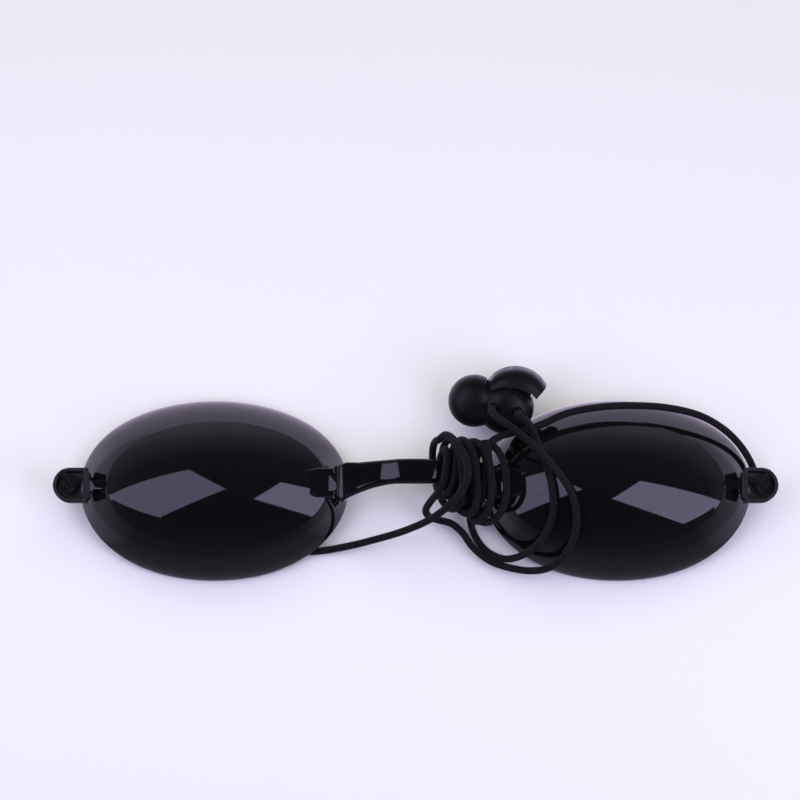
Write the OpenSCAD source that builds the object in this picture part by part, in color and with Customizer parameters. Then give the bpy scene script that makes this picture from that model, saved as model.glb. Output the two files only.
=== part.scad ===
// Patient eye shields for laser work: two opaque moulded cups on a nose bridge,
// held on the head by a thin cord with a sliding lock.
// Left and right are as seen from the front. The origin is midway between the cups
// on the surface they rest on, +X runs right, +Y to the forehead, +Z to the front.

/* [Cups] */
// Length of a cup at its rim
cup_l = 59; // [57:0.5:62]
// Width of a cup at its rim
cup_w = 37.8; // [35:0.2:41]
// Height of a cup from the surface to the top of its face
cup_h = 16; // [15.4:0.2:18]
// Height of the crease between the skirt and the face
crease_h = 10.5; // [10:0.1:10.9]
// Length of the face inside the crease
face_l = 45.4; // [43:0.2:47]
// Width of the face inside the crease
face_w = 26.6; // [24:0.2:28]
// How far the face is set towards the nose
face_shift = 1.1; // [0:0.1:1.6]
// Wall of a cup
cup_wall = 1.6; // [1.2:0.1:1.8]
// Gap between the two rims at the nose
nose_gap = 24.7; // [24:0.1:30]
// How far the rim lifts at the two ends of a cup
rim_rise = 5; // [4.8:0.1:5.2]
// Length of the level part of the rim
rim_flat = 18; // [16:0.5:19]
// Rounding of the rim's outer edge
rim_edge = 0.4; // [0.2:0.1:0.6]

/* [Nose bridge] */
// Height of the bridge's middle plane at the hinge pins
bridge_z = 11.2; // [11:0.1:11.6]
// How far the bridge lies from the cups' middle towards the forehead
bridge_y = 0.4; // [0:0.1:0.6]
// Width of a collar, along the hinge pin
collar_w = 8.1; // [7.6:0.1:8.4]
// Thickness of a collar
collar_t = 3.8; // [3.6:0.1:4.2]
// Length of a collar from the hinge pin to the strap
collar_l = 2.7; // [2.4:0.1:3.4]
// Width of the strap at its middle
strap_w = 5.4; // [5:0.1:5.8]
// Thickness of the strap
strap_t = 3; // [2.4:0.1:3.2]
// Rise of the strap's upper edge towards the forehead
strap_rise = 0.75; // [0.4:0.05:1]
// Rise of the strap's middle towards the front
strap_bow = 1; // [0.5:0.1:1.4]

/* [Hinges] */
// Diameter of a hinge pin
pin_d = 1.2; // [1:0.1:1.3]
// Radial clearance of a tongue on its pin
pin_fit = 0.05; // [0.02:0.01:0.08]
// Width of a tongue, along the pin
tongue_w = 3.8; // [3.2:0.1:4]
// Thickness of a tongue
tongue_t = 2.3; // [2.1:0.1:2.4]
// Clearance between a tongue and its slot
slot_gap = 0.25; // [0.2:0.05:0.4]
// Gap between a cup's boss and the round end of the collar
knuckle_gap = 0.25; // [0.2:0.05:0.4]

/* [Strap tabs] */
// Length of a tab
tab_l = 7; // [6.6:0.1:8]
// Width of a tab
tab_w = 7.1; // [6.6:0.1:7.6]
// Thickness of a tab
tab_t = 3.3; // [3.2:0.1:3.6]
// Height of a tab's back face
tab_z = 8.2; // [8:0.1:8.4]
// Depth of the recess that holds the knot
tab_recess = 1.9; // [1.6:0.1:2]
// Width of the raised rim round the recess
tab_rim = 0.8; // [0.6:0.1:1]
// Gap between a tab's ears and the skirt beside it
tab_gap = 0.3; // [0.2:0.05:0.6]
// How far the ears at a tab's straight edge stand out
tab_ear = 0.5; // [0.3:0.1:0.6]
// Width of the peg that carries a tab
peg_w = 3.3; // [3:0.1:3.6]
// Thickness of the peg
peg_t = 1.8; // [1.6:0.1:1.9]
// How far the peg reaches into the tab
peg_reach = 1.2; // [1:0.1:1.3]
// Clearance of the peg in the tab
peg_fit = 0.05; // [0.02:0.01:0.1]
// Diameter of the cord's hole
cord_hole_d = 1.9; // [1.8:0.1:2.2]

/* [Cord] */
// Diameter of the elastic cord
cord_d = 1.5; // [1.4:0.1:1.6]
// Clearance between the strap and the inner turns, at their sides
wind_side = 1.4; // [1.35:0.05:1.5]
// Clearance between the strap and the inner turns, front and back
wind_face = 1.3; // [1.2:0.05:1.4]
// Step of the turns next to the strap
inner_step = 2.1; // [2:0.05:2.2]
// Step of the outer turns
outer_step = 2.1; // [2:0.05:2.15]
// Step from the inner turns out to the outer ones
layer_step = 2.5; // [2.45:0.05:2.55]
// How much wider the inner turns stand apart at the front, as a share
inner_fan = 0.2; // [0.15:0.05:0.25]
// How much wider the outer turns stand apart at the front, as a share
outer_fan = 0.6; // [0.4:0.05:0.7]
// How far the outer turns stand off loosely, at most
wind_loose = 0.6; // [0:0.1:0.8]
// How far the inner turns lean, to the right at the forehead's side
inner_lean = 0.6; // [0.4:0.1:0.7]
// How far the outer turns lean the other way
outer_lean = 1; // [0.8:0.1:1.1]

/* [Cord lock] */
// Radius of the lock's main lobe
lock_r = 5.8; // [5.7:0.1:6.2]
// Radius of its smaller lobe
lobe_r = 5.4; // [5:0.1:5.6]
// Distance between the centres of the two lobes
lobe_step = 6.6; // [6.2:0.1:7]
// Thickness of the lock's body
lock_t = 9; // [8.4:0.1:9.6]
// Rounding of the body's edges
lock_round = 3; // [2.4:0.1:3.2]
// Radius of the slider's lower edge
slider_r = 4.6; // [4.5:0.05:4.7]
// Thickness of the slider
slider_t = 4.6; // [4.4:0.1:5]
// Clearance round the slider
slider_fit = 0.2; // [0.1:0.05:0.25]
// Distance between the two cord holes of the lock
hole_step = 5.4; // [5.2:0.1:5.6]
// Diameter of the lock's cord holes
lock_hole_d = 2; // [1.9:0.1:2.3]
// Travel of the button
press = 1; // [0.8:0.1:1]
// Radius of the button's outer arc
button_r = 7.4; // [7.4:0.1:7.6]
// Thickness of the button
button_t = 8.8; // [8.4:0.1:9]
// Outer diameter of the lock's spring
spring_d = 2.2; // [2:0.1:2.3]
// Diameter of the spring's wire
wire_d = 0.3; // [0.25:0.05:0.35]
// Turns of the spring
spring_turns = 5; // [4:1:6]

/* [Hidden] */
gloss_black = [0.06, 0.06, 0.07];
matte_black = [0.13, 0.13, 0.14];
cord_black = [0.17, 0.17, 0.18];
steel = [0.7, 0.7, 0.72];
// Facets of curved edges that nothing turns in
smooth = 96;
// Small overlap that lets one cut run past a face
past = 0.1;

// Where the cups stand
cup_x = nose_gap / 2 + cup_l / 2;
cord_r = cord_d / 2;

// The cup's surface

// Points round a cup
cup_sides = 56;
// How quickly the skirt draws in towards the crease
skirt_power = 2;
// How quickly the rim lifts past its level part
rise_power = 1.2;
// Steps up the outer skirt, from the rim to the crease
skirt_steps = [0.25, 0.5, 0.75, 1];
// Steps in over the face, from the crease to the middle
face_steps = [0.93, 0.8, 0.63, 0.43, 0.2];
inner_skirt_steps = [0, 0.33, 0.67, 1];
inner_face_steps = [0.8, 0.5, 0.2];
// The inner crease lies a little lower than one wall under the outer one
inner_crease_h = crease_h - 0.8 * cup_wall;

// Height of the rim at a place along the cup
function rim_z(x) =
    rim_rise * pow(max(0, (abs(x) - rim_flat / 2) / (cup_l / 2 - rim_flat / 2)), rise_power);

// How far the skirt has drawn in at a height, from 0 at the surface to 1 at the crease
function drawn(z) = pow(z / crease_h, skirt_power);
function half_l(z) = cup_l / 2 + (face_l - cup_l) / 2 * drawn(z);
function half_w(z) = cup_w / 2 + (face_w - cup_w) / 2 * drawn(z);
function shift(z) = face_shift * drawn(z);

// Length of the skirt at a height, towards the nose and towards the temple
function nose_reach(z) = half_l(z) + shift(z);
function temple_reach(z) = half_l(z) - shift(z);

// Height of the face along the middle of the cup
function face_z(x) =
    crease_h + (cup_h - crease_h) * (1 - pow((x - face_shift) / (face_l / 2), 2));

// A point of the skirt, set in by a distance
function skirt_point(angle, z, inset) =
    [shift(z) + (half_l(z) - inset) * cos(angle), (half_w(z) - inset) * sin(angle), z];

function around(i) = 360 * i / cup_sides;

// A ring of the skirt at a share of the way from the rim to a top height
function skirt_ring(share, top, inset, lift = 0) =
    [for (i = [0 : cup_sides - 1])
        let (low = rim_z(cup_l / 2 * cos(around(i))) + lift)
        skirt_point(around(i), low + (top - low) * share, inset)];

// A ring of the domed face, drawn in to a share of its edge
function face_ring(share, edge_h, top_h, inset) =
    [for (i = [0 : cup_sides - 1])
        [shift(edge_h) + (half_l(edge_h) - inset) * share * cos(around(i)),
         (half_w(edge_h) - inset) * share * sin(around(i)),
         edge_h + (top_h - edge_h) * (1 - share * share)]];

cup_rings = concat(
    [skirt_ring(0, crease_h, rim_edge)],
    [skirt_ring(0, crease_h, 0, rim_edge)],
    [for (s = skirt_steps) skirt_ring(s, crease_h, 0, rim_edge)],
    [for (s = face_steps) face_ring(s, crease_h, cup_h, 0)]);
inner_rings = concat(
    [for (s = inner_skirt_steps) skirt_ring(s, inner_crease_h, cup_wall)],
    [for (s = inner_face_steps) face_ring(s, inner_crease_h, cup_h - cup_wall, cup_wall)]);

// How far the hinge pin stands out from the crease
pin_step = 3.25;
pin_at = nose_reach(crease_h) + pin_step;
pin_x = cup_x - pin_at;
knuckle_r = collar_t / 2;

// The boss: how far it rises and drops from the bridge's middle plane,
// how much narrower than the collar it is, how far it reaches over the face,
// and the length over which it slopes down to it
boss_rise = 1.5;
boss_drop = 2;
boss_narrow = 2;
boss_reach = 3.2;
boss_slope = 2.2;
boss_corner = 0.9;
boss_top = bridge_z + boss_rise;
boss_low = bridge_z - boss_drop;
boss_w = collar_w - boss_narrow;
boss_root = nose_reach(crease_h) - boss_reach;

// Length of the tongue from the boss to the pin
tongue_l = 3;
// Radial clearance of the pin in the collar
pin_seat = 0.01;

// Where the tab's straight edge stands, and how high the peg lies over its back
tab_end = temple_reach(tab_z) + tab_gap + tab_ear;
peg_lift = 0.7;
peg_z = tab_z + peg_lift;
// How far the peg stands out of the tab, and the width of the rib behind it
peg_neck = 1.2;
rib_w = 1.8;

// Joins the points of two rings of a closed band with triangles
function band(first, second, n) =
    [for (i = [0 : n - 1]) each
        let (j = (i + 1) % n)
        [[first + i, second + i, second + j], [first + i, second + j, first + j]]];

function fan(centre, ring, n, flip) =
    [for (i = [0 : n - 1])
        let (j = (i + 1) % n)
        flip ? [centre, ring + j, ring + i] : [centre, ring + i, ring + j]];

// Colours

module gloss() { color(gloss_black) children(); }
module matte() { color(matte_black) children(); }
module braided() { color(cord_black) children(); }

// Cup

module cup_shell() {
    n = cup_sides;
    outer = len(cup_rings);
    inner = len(inner_rings);
    inside_at = outer * n;
    outer_top = (outer + inner) * n;
    points = concat([for (r = cup_rings) each r], [for (r = inner_rings) each r],
        [[face_shift, 0, cup_h], [shift(inner_crease_h), 0, cup_h - cup_wall]]);
    outside = [for (k = [0 : outer - 2]) each band(k * n, (k + 1) * n, n)];
    inside = [for (k = [0 : inner - 2]) each
        band(inside_at + (k + 1) * n, inside_at + k * n, n)];
    rim = band(inside_at, 0, n);
    polyhedron(points, concat(outside, inside, rim,
        fan(outer_top, (outer - 1) * n, n, true),
        fan(outer_top + 1, inside_at + (inner - 1) * n, n, false)));
}

module along_y(h) {
    rotate([90, 0, 0])
        translate([0, 0, -h / 2])
            children();
}

// The block at the nose end that the tongue grows from, rooted in the wall
module cup_boss() {
    low_root = nose_reach(boss_low) - cup_wall / 2;
    translate([0, bridge_y, 0])
        intersection() {
            along_y(boss_w)
                linear_extrude(boss_w)
                    polygon([[low_root, boss_low], [pin_at, boss_low], [pin_at, boss_top],
                             [boss_root + boss_slope, boss_top],
                             [boss_root, face_z(boss_root) + past],
                             [boss_root, face_z(boss_root) - cup_wall / 2]]);
            linear_extrude(2 * cup_h)
                polygon([[boss_root - past, -boss_w / 2], [pin_at - boss_corner, -boss_w / 2],
                         [pin_at, boss_corner - boss_w / 2], [pin_at, boss_w / 2 - boss_corner],
                         [pin_at - boss_corner, boss_w / 2], [boss_root - past, boss_w / 2]]);
        }
}

module tongue() {
    difference() {
        union() {
            translate([pin_at, bridge_y, bridge_z])
                along_y(tongue_w)
                    cylinder(h = tongue_w, d = tongue_t, $fn = smooth);
            translate([pin_at - tongue_l, bridge_y - tongue_w / 2, bridge_z - tongue_t / 2])
                cube([tongue_l, tongue_w, tongue_t]);
        }
        translate([pin_at, bridge_y, bridge_z])
            along_y(tongue_w + 2 * past)
                cylinder(h = tongue_w + 2 * past, r = pin_d / 2 + pin_fit, $fn = smooth);
    }
}

// The flat peg at the temple end that the tab is pushed onto, and the rib that
// carries it down from the crease
module peg() {
    peg_top = peg_z + peg_t;
    along_y(peg_w)
        linear_extrude(peg_w)
            translate([-tab_end - peg_reach, peg_z])
                square([peg_reach + peg_neck, peg_t]);
    along_y(rib_w)
        linear_extrude(rib_w)
            polygon([[-tab_end, peg_z], [cup_wall / 2 - temple_reach(peg_z), peg_z],
                     [cup_wall / 2 - temple_reach(crease_h), crease_h],
                     [-temple_reach(crease_h), crease_h + past],
                     [-temple_reach(crease_h), peg_top], [-tab_end, peg_top]]);
}

// A cup in its own place, with the nose towards +X
module cup() {
    difference() {
        union() {
            cup_shell();
            cup_boss();
            peg();
        }
        translate([pin_at, bridge_y, bridge_z])
            along_y(collar_w + 2 * past)
                cylinder(h = collar_w + 2 * past, r = knuckle_r + knuckle_gap, $fn = smooth);
    }
    tongue();
}

module left_side() { translate([-cup_x, 0, 0]) children(); }
module right_side() { mirror([1, 0, 0]) left_side() children(); }

module left_cup() { gloss() left_side() cup(); }
module right_cup() { gloss() right_side() cup(); }

// Nose bridge

// Half the strap's length, and how far it runs on into a collar
strap_half = pin_x - collar_l;
strap_root = 0.6;

// Share of the way from the middle of the strap to a collar
function along(x) = min(1, abs(x) / strap_half);
function upper_edge(x) = bridge_y + collar_w / 2 + strap_rise * (1 - pow(along(x), 2));
function lower_edge(x) =
    bridge_y - collar_w / 2 + (collar_w + strap_rise - strap_w) * (1 - pow(along(x), 4));
function strap_y(x) = (upper_edge(x) + lower_edge(x)) / 2;
function strap_half_w(x) = (upper_edge(x) - lower_edge(x)) / 2;
function strap_z(x) = bridge_z + strap_bow * (1 - pow(along(x), 2));
// The strap thickens towards the collars and ends just short of their thickness
strap_step = 0.1;
function strap_half_t(x) =
    strap_t / 2 + (collar_t / 2 - strap_step - strap_t / 2) * pow(along(x), 3);

// A round-cornered section of the strap, as points round it
strap_corner = 0.9;
corner_steps = 3;
function strap_section(x) =
    [for (c = [0 : 3], k = [0 : corner_steps])
        let (angle = 90 * (c + k / corner_steps),
             side = [(c == 0 || c == 3) ? 1 : -1, c < 2 ? 1 : -1])
        [x,
         strap_y(x) + side[0] * (strap_half_w(x) - strap_corner) + strap_corner * cos(angle),
         strap_z(x) + side[1] * (strap_half_t(x) - strap_corner) + strap_corner * sin(angle)]];
strap_stations = 24;

module strap() {
    n = 4 * (corner_steps + 1);
    reach = strap_half + strap_root;
    sections = [for (k = [0 : strap_stations])
        strap_section(reach * (2 * k / strap_stations - 1))];
    last = strap_stations * n;
    polyhedron([for (s = sections) each s],
        concat([for (k = [0 : strap_stations - 1]) each band(k * n, (k + 1) * n, n)],
            [[for (i = [0 : n - 1]) i]], [[for (i = [n - 1 : -1 : 0]) last + i]]));
}

// How much the collar's outer corners are cut off, along and across the strap,
// on the forehead's side and on the cheek's
collar_cut = [2.5, 0.8];
collar_trim = [1.9, 1.1];
// How far the hinge pin's ends lie inside the collar's sides
pin_inset = 0.4;

// A collar at the left end: a round-ended block with a slot behind for the tongue
module collar() {
    wall = (collar_t - tongue_t) / 2 - slot_gap / 2;
    slot_side = tongue_w + 2 * slot_gap;
    slot_end = tongue_t / 2 + slot_gap;
    difference() {
        union() {
            along_y(collar_w)
                cylinder(h = collar_w, d = collar_t, $fn = smooth);
            translate([0, -collar_w / 2, -collar_t / 2])
                cube([collar_l, collar_w, collar_t]);
        }
        translate([-knuckle_r, 0, -collar_t])
            linear_extrude(2 * collar_t) {
                polygon([[-past, collar_w / 2 - collar_cut[1]], [0, collar_w / 2 - collar_cut[1]],
                         [collar_cut[0], collar_w / 2], [collar_cut[0], collar_w / 2 + past],
                         [-past, collar_w / 2 + past]]);
                polygon([[-past, collar_trim[1] - collar_w / 2], [0, collar_trim[1] - collar_w / 2],
                         [collar_trim[0], -collar_w / 2], [collar_trim[0], -collar_w / 2 - past],
                         [-past, -collar_w / 2 - past]]);
            }
        translate([-collar_t, -slot_side / 2, -collar_t])
            cube([collar_t + slot_end, slot_side, collar_t + knuckle_r - wall]);
        along_y(collar_w + 2 * past)
            cylinder(h = collar_w + 2 * past, r = pin_d / 2 + pin_seat, $fn = smooth);
    }
}

module nose_bridge() {
    gloss() {
        strap();
        translate([-pin_x, bridge_y, bridge_z])
            collar();
        mirror([1, 0, 0])
            translate([-pin_x, bridge_y, bridge_z])
                collar();
    }
}

// Hinge pins

pin_l = collar_w - 2 * pin_inset;

module hinge_pin(side) {
    color(steel)
        translate([side * pin_x, bridge_y, bridge_z])
            along_y(pin_l)
                cylinder(h = pin_l, d = pin_d, $fn = smooth);
}
module left_hinge_pin() { hinge_pin(-1); }
module right_hinge_pin() { hinge_pin(1); }

// Strap tabs

// Middle of the tab's round outer end, and of the cord's hole just outside it
tab_round_x = tab_end + tab_l - tab_w / 2;
hole_offset = 0.1;
hole_x = tab_round_x + hole_offset;
tab_floor = tab_z + tab_t - tab_recess;

// The tab's outline drawn in by a distance, with its straight edge at the cup
module tab_outline(inset, ears) {
    translate([-tab_round_x, 0])
        circle(r = tab_w / 2 - inset, $fn = smooth);
    translate([-tab_round_x, inset - tab_w / 2])
        square([tab_round_x - tab_end - inset, tab_w - 2 * inset]);
    if (ears)
        translate([-tab_end, 0])
            polygon([[0, tab_ear - tab_w / 2], [tab_ear, 2 * tab_ear - tab_w / 2],
                     [tab_ear, tab_w / 2 - 2 * tab_ear], [0, tab_w / 2 - tab_ear]]);
}

module strap_tab() {
    difference() {
        translate([0, 0, tab_z])
            linear_extrude(tab_t)
                tab_outline(0, true);
        translate([0, 0, tab_floor])
            linear_extrude(tab_recess + past)
                tab_outline(tab_rim, false);
        translate([-hole_x, 0, tab_z - past])
            cylinder(h = tab_t, d = cord_hole_d, $fn = smooth);
        translate([-(tab_end + peg_reach), -peg_w / 2 - peg_fit, peg_z - peg_fit])
            cube([peg_reach + tab_ear + past, peg_w + 2 * peg_fit, peg_t + 2 * peg_fit]);
    }
}

module left_strap_tab() { matte() left_side() strap_tab(); }
module right_strap_tab() { matte() right_side() strap_tab(); }

// Knots

// Half the knotted cord's thickness, the middle's height over the turn,
// and the loose end's length and direction
knot_r = 0.75;
knot_rise = 0.3;
stub_l = 2.1;
stub_turn = 70;

module knot() {
    translate([-hole_x, 0, tab_floor]) {
        translate([0, 0, knot_r])
            rotate_extrude($fn = smooth)
                translate([knot_r, 0])
                    circle(r = knot_r, $fn = smooth);
        cylinder(h = 2 * knot_r + knot_rise, r = knot_r, $fn = smooth);
        translate([0, 0, knot_r])
            rotate([0, 90, stub_turn])
                cylinder(h = stub_l, r = knot_r, $fn = smooth);
    }
}

module left_knot() { braided() left_side() knot(); }
module right_knot() { braided() right_side() knot(); }

// Cord

function unit(v) = v / norm(v);
function tangents(p) =
    [for (i = [0 : len(p) - 1]) unit(p[min(i + 1, len(p) - 1)] - p[max(i - 1, 0)])];

// Carries one cross direction along a run of tangents without twist
function carried(t) =
    [for (i = 0, n = unit(cross(t[0], [0.36, 0.48, 0.8]));
          i < len(t);
          i = i + 1, n = i < len(t) ? unit(n - (n * t[i]) * t[i]) : n) n];

module tube(path, r, sides) {
    t = tangents(path);
    n = carried(t);
    last = (len(path) - 1) * sides;
    points = [for (i = [0 : len(path) - 1], k = [0 : sides - 1])
        let (a = 360 * k / sides)
        path[i] + r * cos(a) * n[i] + r * sin(a) * cross(t[i], n[i])];
    walls = [for (i = [0 : len(path) - 2]) each band(i * sides, (i + 1) * sides, sides)];
    near_end = [for (k = [1 : sides - 2]) [0, k, k + 1]];
    far_end = [for (k = [1 : sides - 2]) [last, last + k + 1, last + k]];
    polyhedron(points, concat(walls, near_end, far_end));
}

// Turns round the strap: a place for an angle round it and a distance along it.
// They hug the flat strap a little more squarely than an ellipse.
wind_x = 3.4;
wind_square = 0.85;
function squarer(v) = sign(v) * pow(abs(v), wind_square);
function turn_point(angle, x, out, fan, lean) =
    let (wide = x + fan * (x - wind_x) * (1 + sin(angle)) / 2 + lean * cos(angle))
    [wide,
     strap_y(wide) + (strap_half_w(wide) + wind_side + cord_r + out) * squarer(cos(angle)),
     strap_z(wide) + (strap_t / 2 + wind_face + cord_r + out) * squarer(sin(angle))];
rings_per_turn = 24;

// The inner turns start at the left, where the loop comes in, and step towards the right cup
inner_start = 165;
inner_end = -1330;
inner_span = (inner_start - inner_end) / 360;
inner_turns = [for (k = [0 : round(inner_span * rings_per_turn)])
    let (share = k / round(inner_span * rings_per_turn))
    turn_point(inner_start + (inner_end - inner_start) * share,
        wind_x + inner_step * inner_span * share, 0, inner_fan, inner_lean)];

// The outer turns start where the left stretch comes over the front and step the same way
outer_start = 10;
outer_end = -1170;
outer_span = (outer_start - outer_end) / 360;
outer_turns = [for (k = [0 : round(outer_span * rings_per_turn)])
    let (share = k / round(outer_span * rings_per_turn))
    let (angle = outer_start + (outer_end - outer_start) * share)
    turn_point(angle, wind_x + outer_step * outer_span * share,
        layer_step + wind_loose * pow(sin(0.4 * angle), 2), outer_fan, -outer_lean)];

// Adds a straight run of one cord's diameter at each end
function with_ends(p) =
    let (last = len(p) - 1)
    concat([p[0] - cord_d * unit(p[1] - p[0])], p,
        [p[last] + cord_d * unit(p[last] - p[last - 1])]);
inner_path = with_ends(inner_turns);
outer_path = with_ends(outer_turns);

// Least gap of a wound tube to itself, past the rings that follow each other
function least_gap(p) =
    min([for (i = [0 : len(p) - 1], j = [i + 8 : 1 : len(p) - 1]) norm(p[i] - p[j])]) - cord_d;
function gap_between(p, q) = min([for (a = p, b = q) norm(a - b)]) - cord_d;
echo(least_gap_inner = least_gap(inner_path));
echo(least_gap_outer = least_gap(outer_path));
echo(gap_of_windings = gap_between(inner_path, outer_path));

// Ends that a free stretch shares with a winding, each with one straight ring before it
inner_in = inner_path[0];
inner_out = inner_path[len(inner_path) - 1];
outer_in = outer_path[0];
outer_out = outer_path[len(outer_path) - 1];
function lead(p, i, step) = p[i] + cord_d * unit(p[i] - p[i + step]);
before_inner = lead(inner_path, 0, 1);
after_inner = lead(inner_path, len(inner_path) - 1, -1);
before_outer = lead(outer_path, 0, 1);
after_outer = lead(outer_path, len(outer_path) - 1, -1);

// The cord hangs straight out of the tab's hole before it bends away
drop = 0.6;
hole_drop = [[-(cup_x + hole_x), 0, tab_floor], [-(cup_x + hole_x), 0, tab_z - drop]];
function mirrored(p) = [for (q = p) [-q[0], q[1], q[2]]];

// From the left tab under the left cup, over the front of the turns and round their top
left_route = [[-70.8, -0.6, 5.2], [-69.6, -1.5, 3], [-66.6, -2.9, 1.5], [-61, -5, 1],
    [-56, -6.6, 1], [-51, -8.2, 1], [-46, -9.6, 1], [-41, -10.8, 1], [-36, -11.8, 1],
    [-31, -12.5, 1], [-26, -12.8, 1], [-20, -12.7, 1.2], [-14, -11.8, 2.4],
    [-8, -10.6, 5.2], [-2, -9.2, 9.6], [3, -7.2, 14.8], [6.6, -4, 18.9], [8.6, -0.2, 20.8],
    [8.2, 3.8, 21], [6.4, 7.4, 20], [4.4, 10.1, 17.2]];

// Off the front of the inner turns, along the right cup and under its tab
right_route = [[14.9, 7.4, 15.5], [16.6, 9.2, 14.7], [19.2, 10.2, 13.8], [22.4, 11, 12.9], [26, 12.4, 12], [31, 14.6, 12],
    [38, 16, 11.6], [45, 16.4, 11], [52, 16, 10.4], [58.5, 14.6, 9.4], [63.6, 12, 7.8],
    [67, 9, 6.4], [69.2, 5.8, 5.6], [70.4, 2.6, 5.6]];

module cord(path) { braided() tube(path, cord_r, 8); }

module left_cord() { cord(concat(hole_drop, left_route, [before_outer, outer_in])); }
module right_cord() {
    cord(concat([inner_out, after_inner], right_route,
        [for (i = [1, 0]) mirrored(hole_drop)[i]]));
}
module inner_winding() { braided() tube(inner_path, cord_r, 6); }
module outer_winding() { braided() tube(outer_path, cord_r, 6); }

// Cord lock

// Where the lock lies, how it leans back and how it is turned
lock_at = [15.7, 17, 9.5];
lock_lean = 20;
lock_turn = -10;

// Middle of the main lobe along the lock
lobe_x = 3;
// How much thinner the smaller lobe is
lobe_thin = 0.8;
// Middle of the button's arc, and clearance of the button round the lobes
button_at = [4.7, 1.1];
button_gap = 0.3;
// The lower edge of the button and the lines that cut off its two ends
button_edge = [[-1.9, 3.1], [0.7, 4.1], [4.6, 4.9], [7.8, 4.2], [8.8, 3.3], [11.8, 7.9],
               [11.8, 12], [2, 12]];
slider_low = -slider_r + press;
// Height of the slider above its lower edge's middle
slider_top = 6.4;
// Clearance of the cord in the button's slots, and of the spring in its bore
cord_slot_fit = 0.15;
spring_fit = 0.15;
// Depth of the bore for the spring
spring_depth = 3.4;
spring_sides = 8;

module lock_place() {
    translate(lock_at)
        rotate([lock_lean, 0, lock_turn])
            children();
}

// The same move as lock_place, for one point
function in_place(p) =
    let (y = p[1] * cos(lock_lean) - p[2] * sin(lock_lean),
         z = p[1] * sin(lock_lean) + p[2] * cos(lock_lean))
    lock_at + [p[0] * cos(lock_turn) - y * sin(lock_turn),
               p[0] * sin(lock_turn) + y * cos(lock_turn), z];

module lobe(r, t) {
    rotate_extrude($fn = smooth)
        intersection() {
            hull() {
                for (z = [lock_round - t / 2, t / 2 - lock_round])
                    translate([r - lock_round, z])
                        circle(r = lock_round, $fn = 32);
                translate([-r, -t / 2])
                    square([r, t]);
            }
            translate([0, -t])
                square([2 * r, 2 * t]);
        }
}

// Outline of the slider below the button, with a clearance all round
module slider_outline(fit, top) {
    translate([0, slider_r + slider_low])
        circle(r = slider_r + fit, $fn = smooth);
    translate([-slider_r - fit, slider_r + slider_low])
        square([2 * (slider_r + fit), top]);
}

module lock_body() {
    matte()
        lock_place()
            difference() {
                union() {
                    translate([lobe_x, 0, 0])
                        lobe(lock_r, lock_t);
                    translate([lobe_x - lobe_step, 0, 0])
                        lobe(lobe_r, lock_t - lobe_thin);
                }
                translate([lobe_x, -press, -slider_t / 2 - slider_fit])
                    linear_extrude(slider_t + 2 * slider_fit)
                        slider_outline(slider_fit, 2 * lock_r);
                for (side = [-1, 1])
                    translate([lobe_x + side * hole_step / 2, 0, -lock_t])
                        cylinder(h = 2 * lock_t, d = lock_hole_d, $fn = smooth);
            }
}

cord_slot_w = cord_d + 2 * cord_slot_fit;
spring_bore = spring_d + 2 * spring_fit;

module lock_button() {
    matte()
        lock_place()
            difference() {
                union() {
                    difference() {
                        translate([0, 0, -button_t / 2])
                            linear_extrude(button_t)
                                intersection() {
                                    translate(button_at)
                                        circle(r = button_r, $fn = smooth);
                                    polygon(button_edge);
                                }
                        translate([lobe_x, press, 0])
                            lobe(lock_r + button_gap, lock_t + 2 * button_gap);
                        translate([lobe_x - lobe_step, press, 0])
                            lobe(lobe_r + button_gap, lock_t - lobe_thin + 2 * button_gap);
                    }
                    translate([0, 0, -slider_t / 2])
                        linear_extrude(slider_t)
                            intersection() {
                                translate([lobe_x, 0])
                                    slider_outline(0, slider_top);
                                translate(button_at)
                                    circle(r = button_r - button_gap, $fn = smooth);
                            }
                }
                for (side = [-1, 1])
                    translate([lobe_x + side * hole_step / 2, 0, -button_t])
                        linear_extrude(2 * button_t) {
                            circle(d = cord_slot_w, $fn = smooth);
                            translate([-cord_slot_w / 2, 0])
                                square([cord_slot_w, press]);
                            translate([0, press])
                                circle(d = cord_slot_w, $fn = smooth);
                        }
                translate([lobe_x, slider_low + spring_depth, 0])
                    rotate([90, 0, 0])
                        cylinder(h = spring_depth + slider_r, d = spring_bore, $fn = smooth);
            }
}

// The spring stands in the button's bore on the floor of the body's pocket
spring_foot = slider_low - press - slider_fit;
spring_l = slider_low + spring_depth - spring_foot - 2 * past;

module lock_spring() {
    coil_r = (spring_d - wire_d) / 2;
    steps = spring_sides * spring_turns;
    path = [for (k = [0 : steps])
        [lobe_x + coil_r * cos(360 * k / spring_sides),
         spring_foot + past + wire_d / 2 + (spring_l - wire_d) * k / steps,
         coil_r * sin(360 * k / spring_sides)]];
    color(steel)
        lock_place()
            tube(path, wire_d / 2, 6);
}

// The loop runs from the start of the inner turns up into one hole of the lock, turns
// behind it and comes back out of the other hole to the end of the outer turns
hole_a = lobe_x - hole_step / 2;
hole_b = lobe_x + hole_step / 2;
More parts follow.
